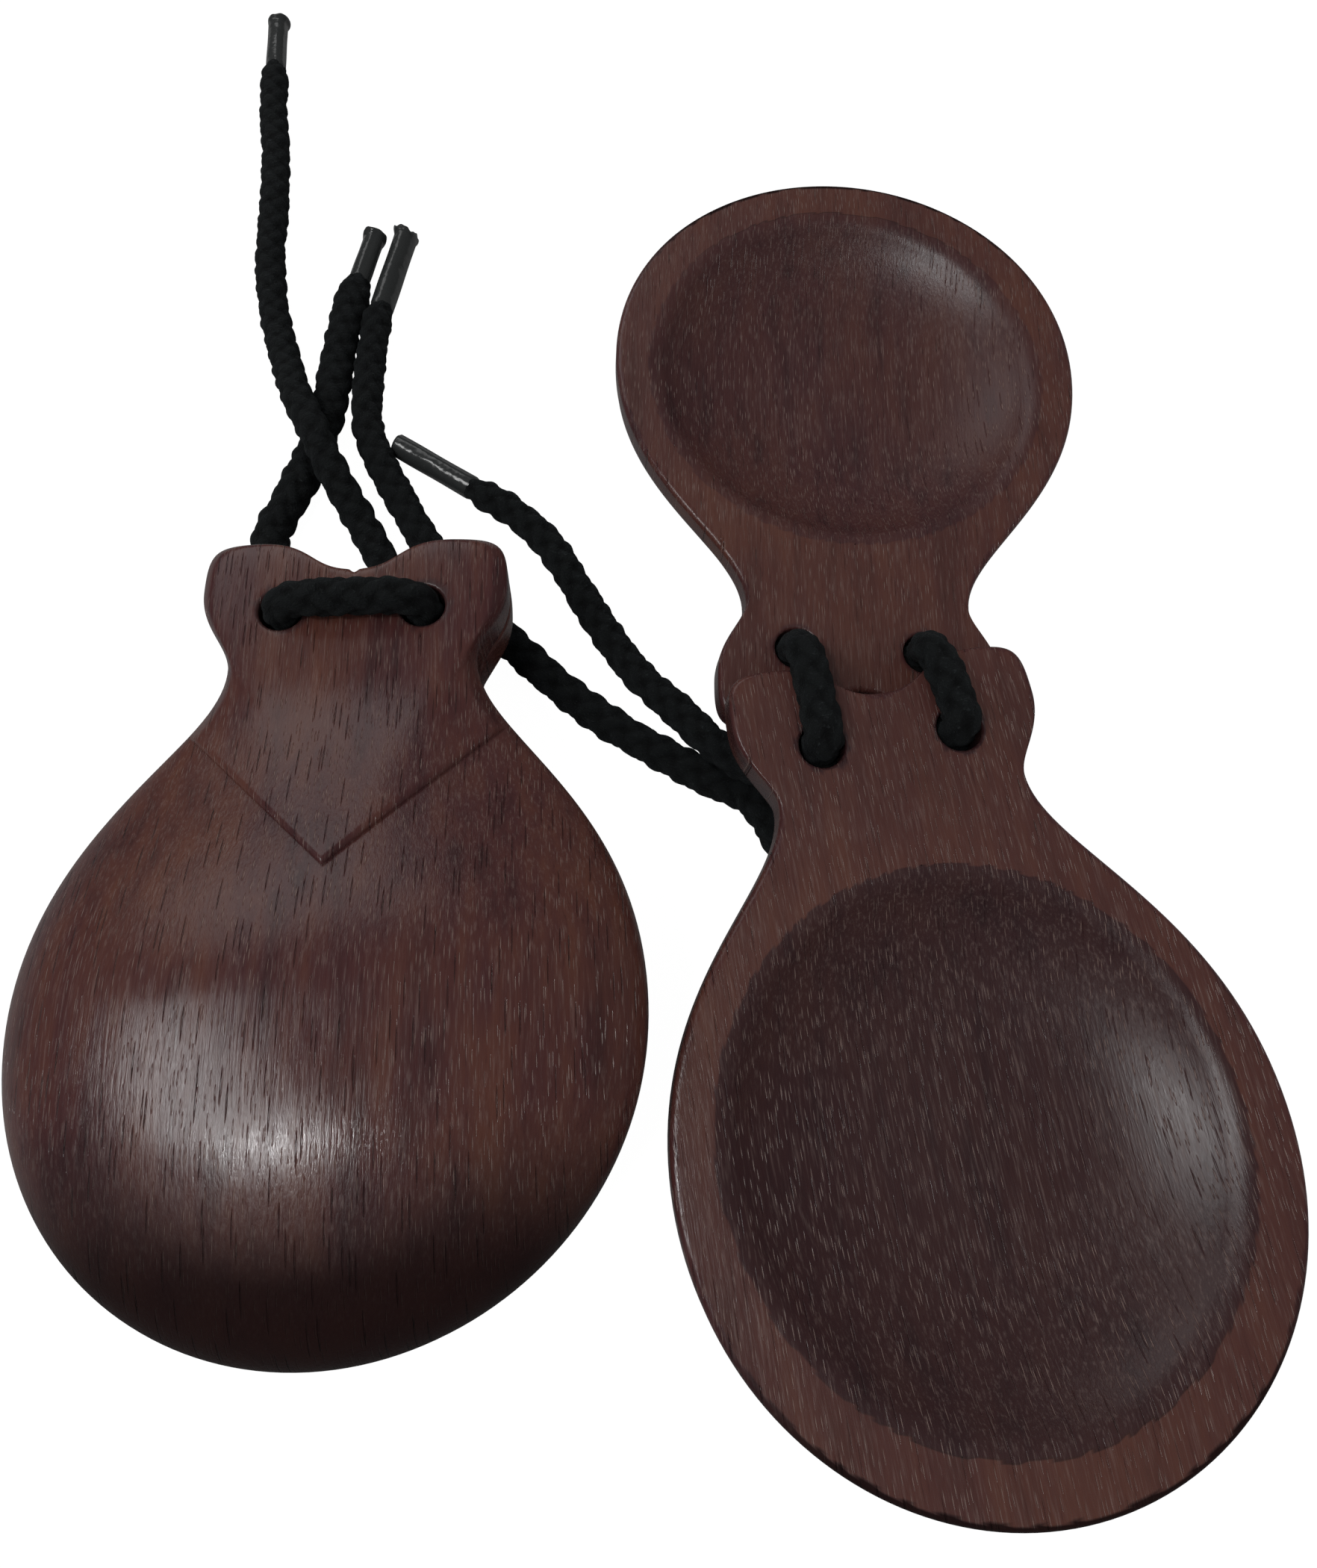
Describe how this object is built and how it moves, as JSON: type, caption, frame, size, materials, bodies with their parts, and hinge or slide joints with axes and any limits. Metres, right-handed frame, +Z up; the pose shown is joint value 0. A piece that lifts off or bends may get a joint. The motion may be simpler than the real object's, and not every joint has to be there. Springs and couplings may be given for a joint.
{
  "type": "castanets",
  "caption": "Round dark-wood castanet shells hinged in pairs by braided cords, one pair closed and the other folded open to show its bowls.",
  "frame": {"origin": "on the surface the shells rest on, under the middle of the four shells", "axes": "+Z up; +Y from the near open shell towards the far one and along the closed pair towards its ears; +X towards the open pair"},
  "size_m": [0.1493, 0.2279, 0.0303],
  "materials": {
    "open_near_wood": "satin oiled dark hardwood",
    "open_far_wood": "satin oiled dark hardwood",
    "closed_bottom_wood": "satin oiled dark hardwood",
    "closed_top_wood": "satin oiled dark hardwood",
    "cord": "matte braided cord",
    "cord_tip": "gloss"
  },
  "bodies": {
    "open_near": {"open_near_shell": "open_near_wood", "open_cord_left_strand": "cord", "open_cord_right_strand": "cord", "open_cord_left_tail": "cord", "open_cord_right_tail": "cord", "open_left_tip": "cord_tip", "open_right_tip": "cord_tip"},
    "open_far": {"open_far_shell": "open_far_wood", "open_cord_far_crossing": "cord"},
    "closed_bottom": {"closed_bottom_shell": "closed_bottom_wood", "closed_cord_left_tail": "cord", "closed_cord_right_tail": "cord", "closed_left_tip": "cord_tip", "closed_right_tip": "cord_tip"},
    "closed_top": {"closed_top_shell": "closed_top_wood", "closed_cord_crossing": "cord"}
  },
  "joints": [
    {"name": "fold_open_pair", "type": "hinge", "parent": "open_near", "child": "open_far", "pos_m": [0.02566, 0.00067, 0.01578], "axis": [0.9952, 0.0976, 0], "range_deg": [0, 180], "deforming": ["open_cord_left_strand", "open_cord_right_strand"]},
    {"name": "open_closed_pair", "type": "hinge", "parent": "closed_bottom", "child": "closed_top", "pos_m": [-0.04058, 0.01456, 0.01515], "axis": [-0.9959, -0.0906, 0], "range_deg": [0, 90]},
    {"name": "lift_closed_pair", "type": "slide", "parent": "open_near", "child": "closed_bottom", "axis": [0, 0, 1], "range_m": [0, 0.12]}
  ]
}
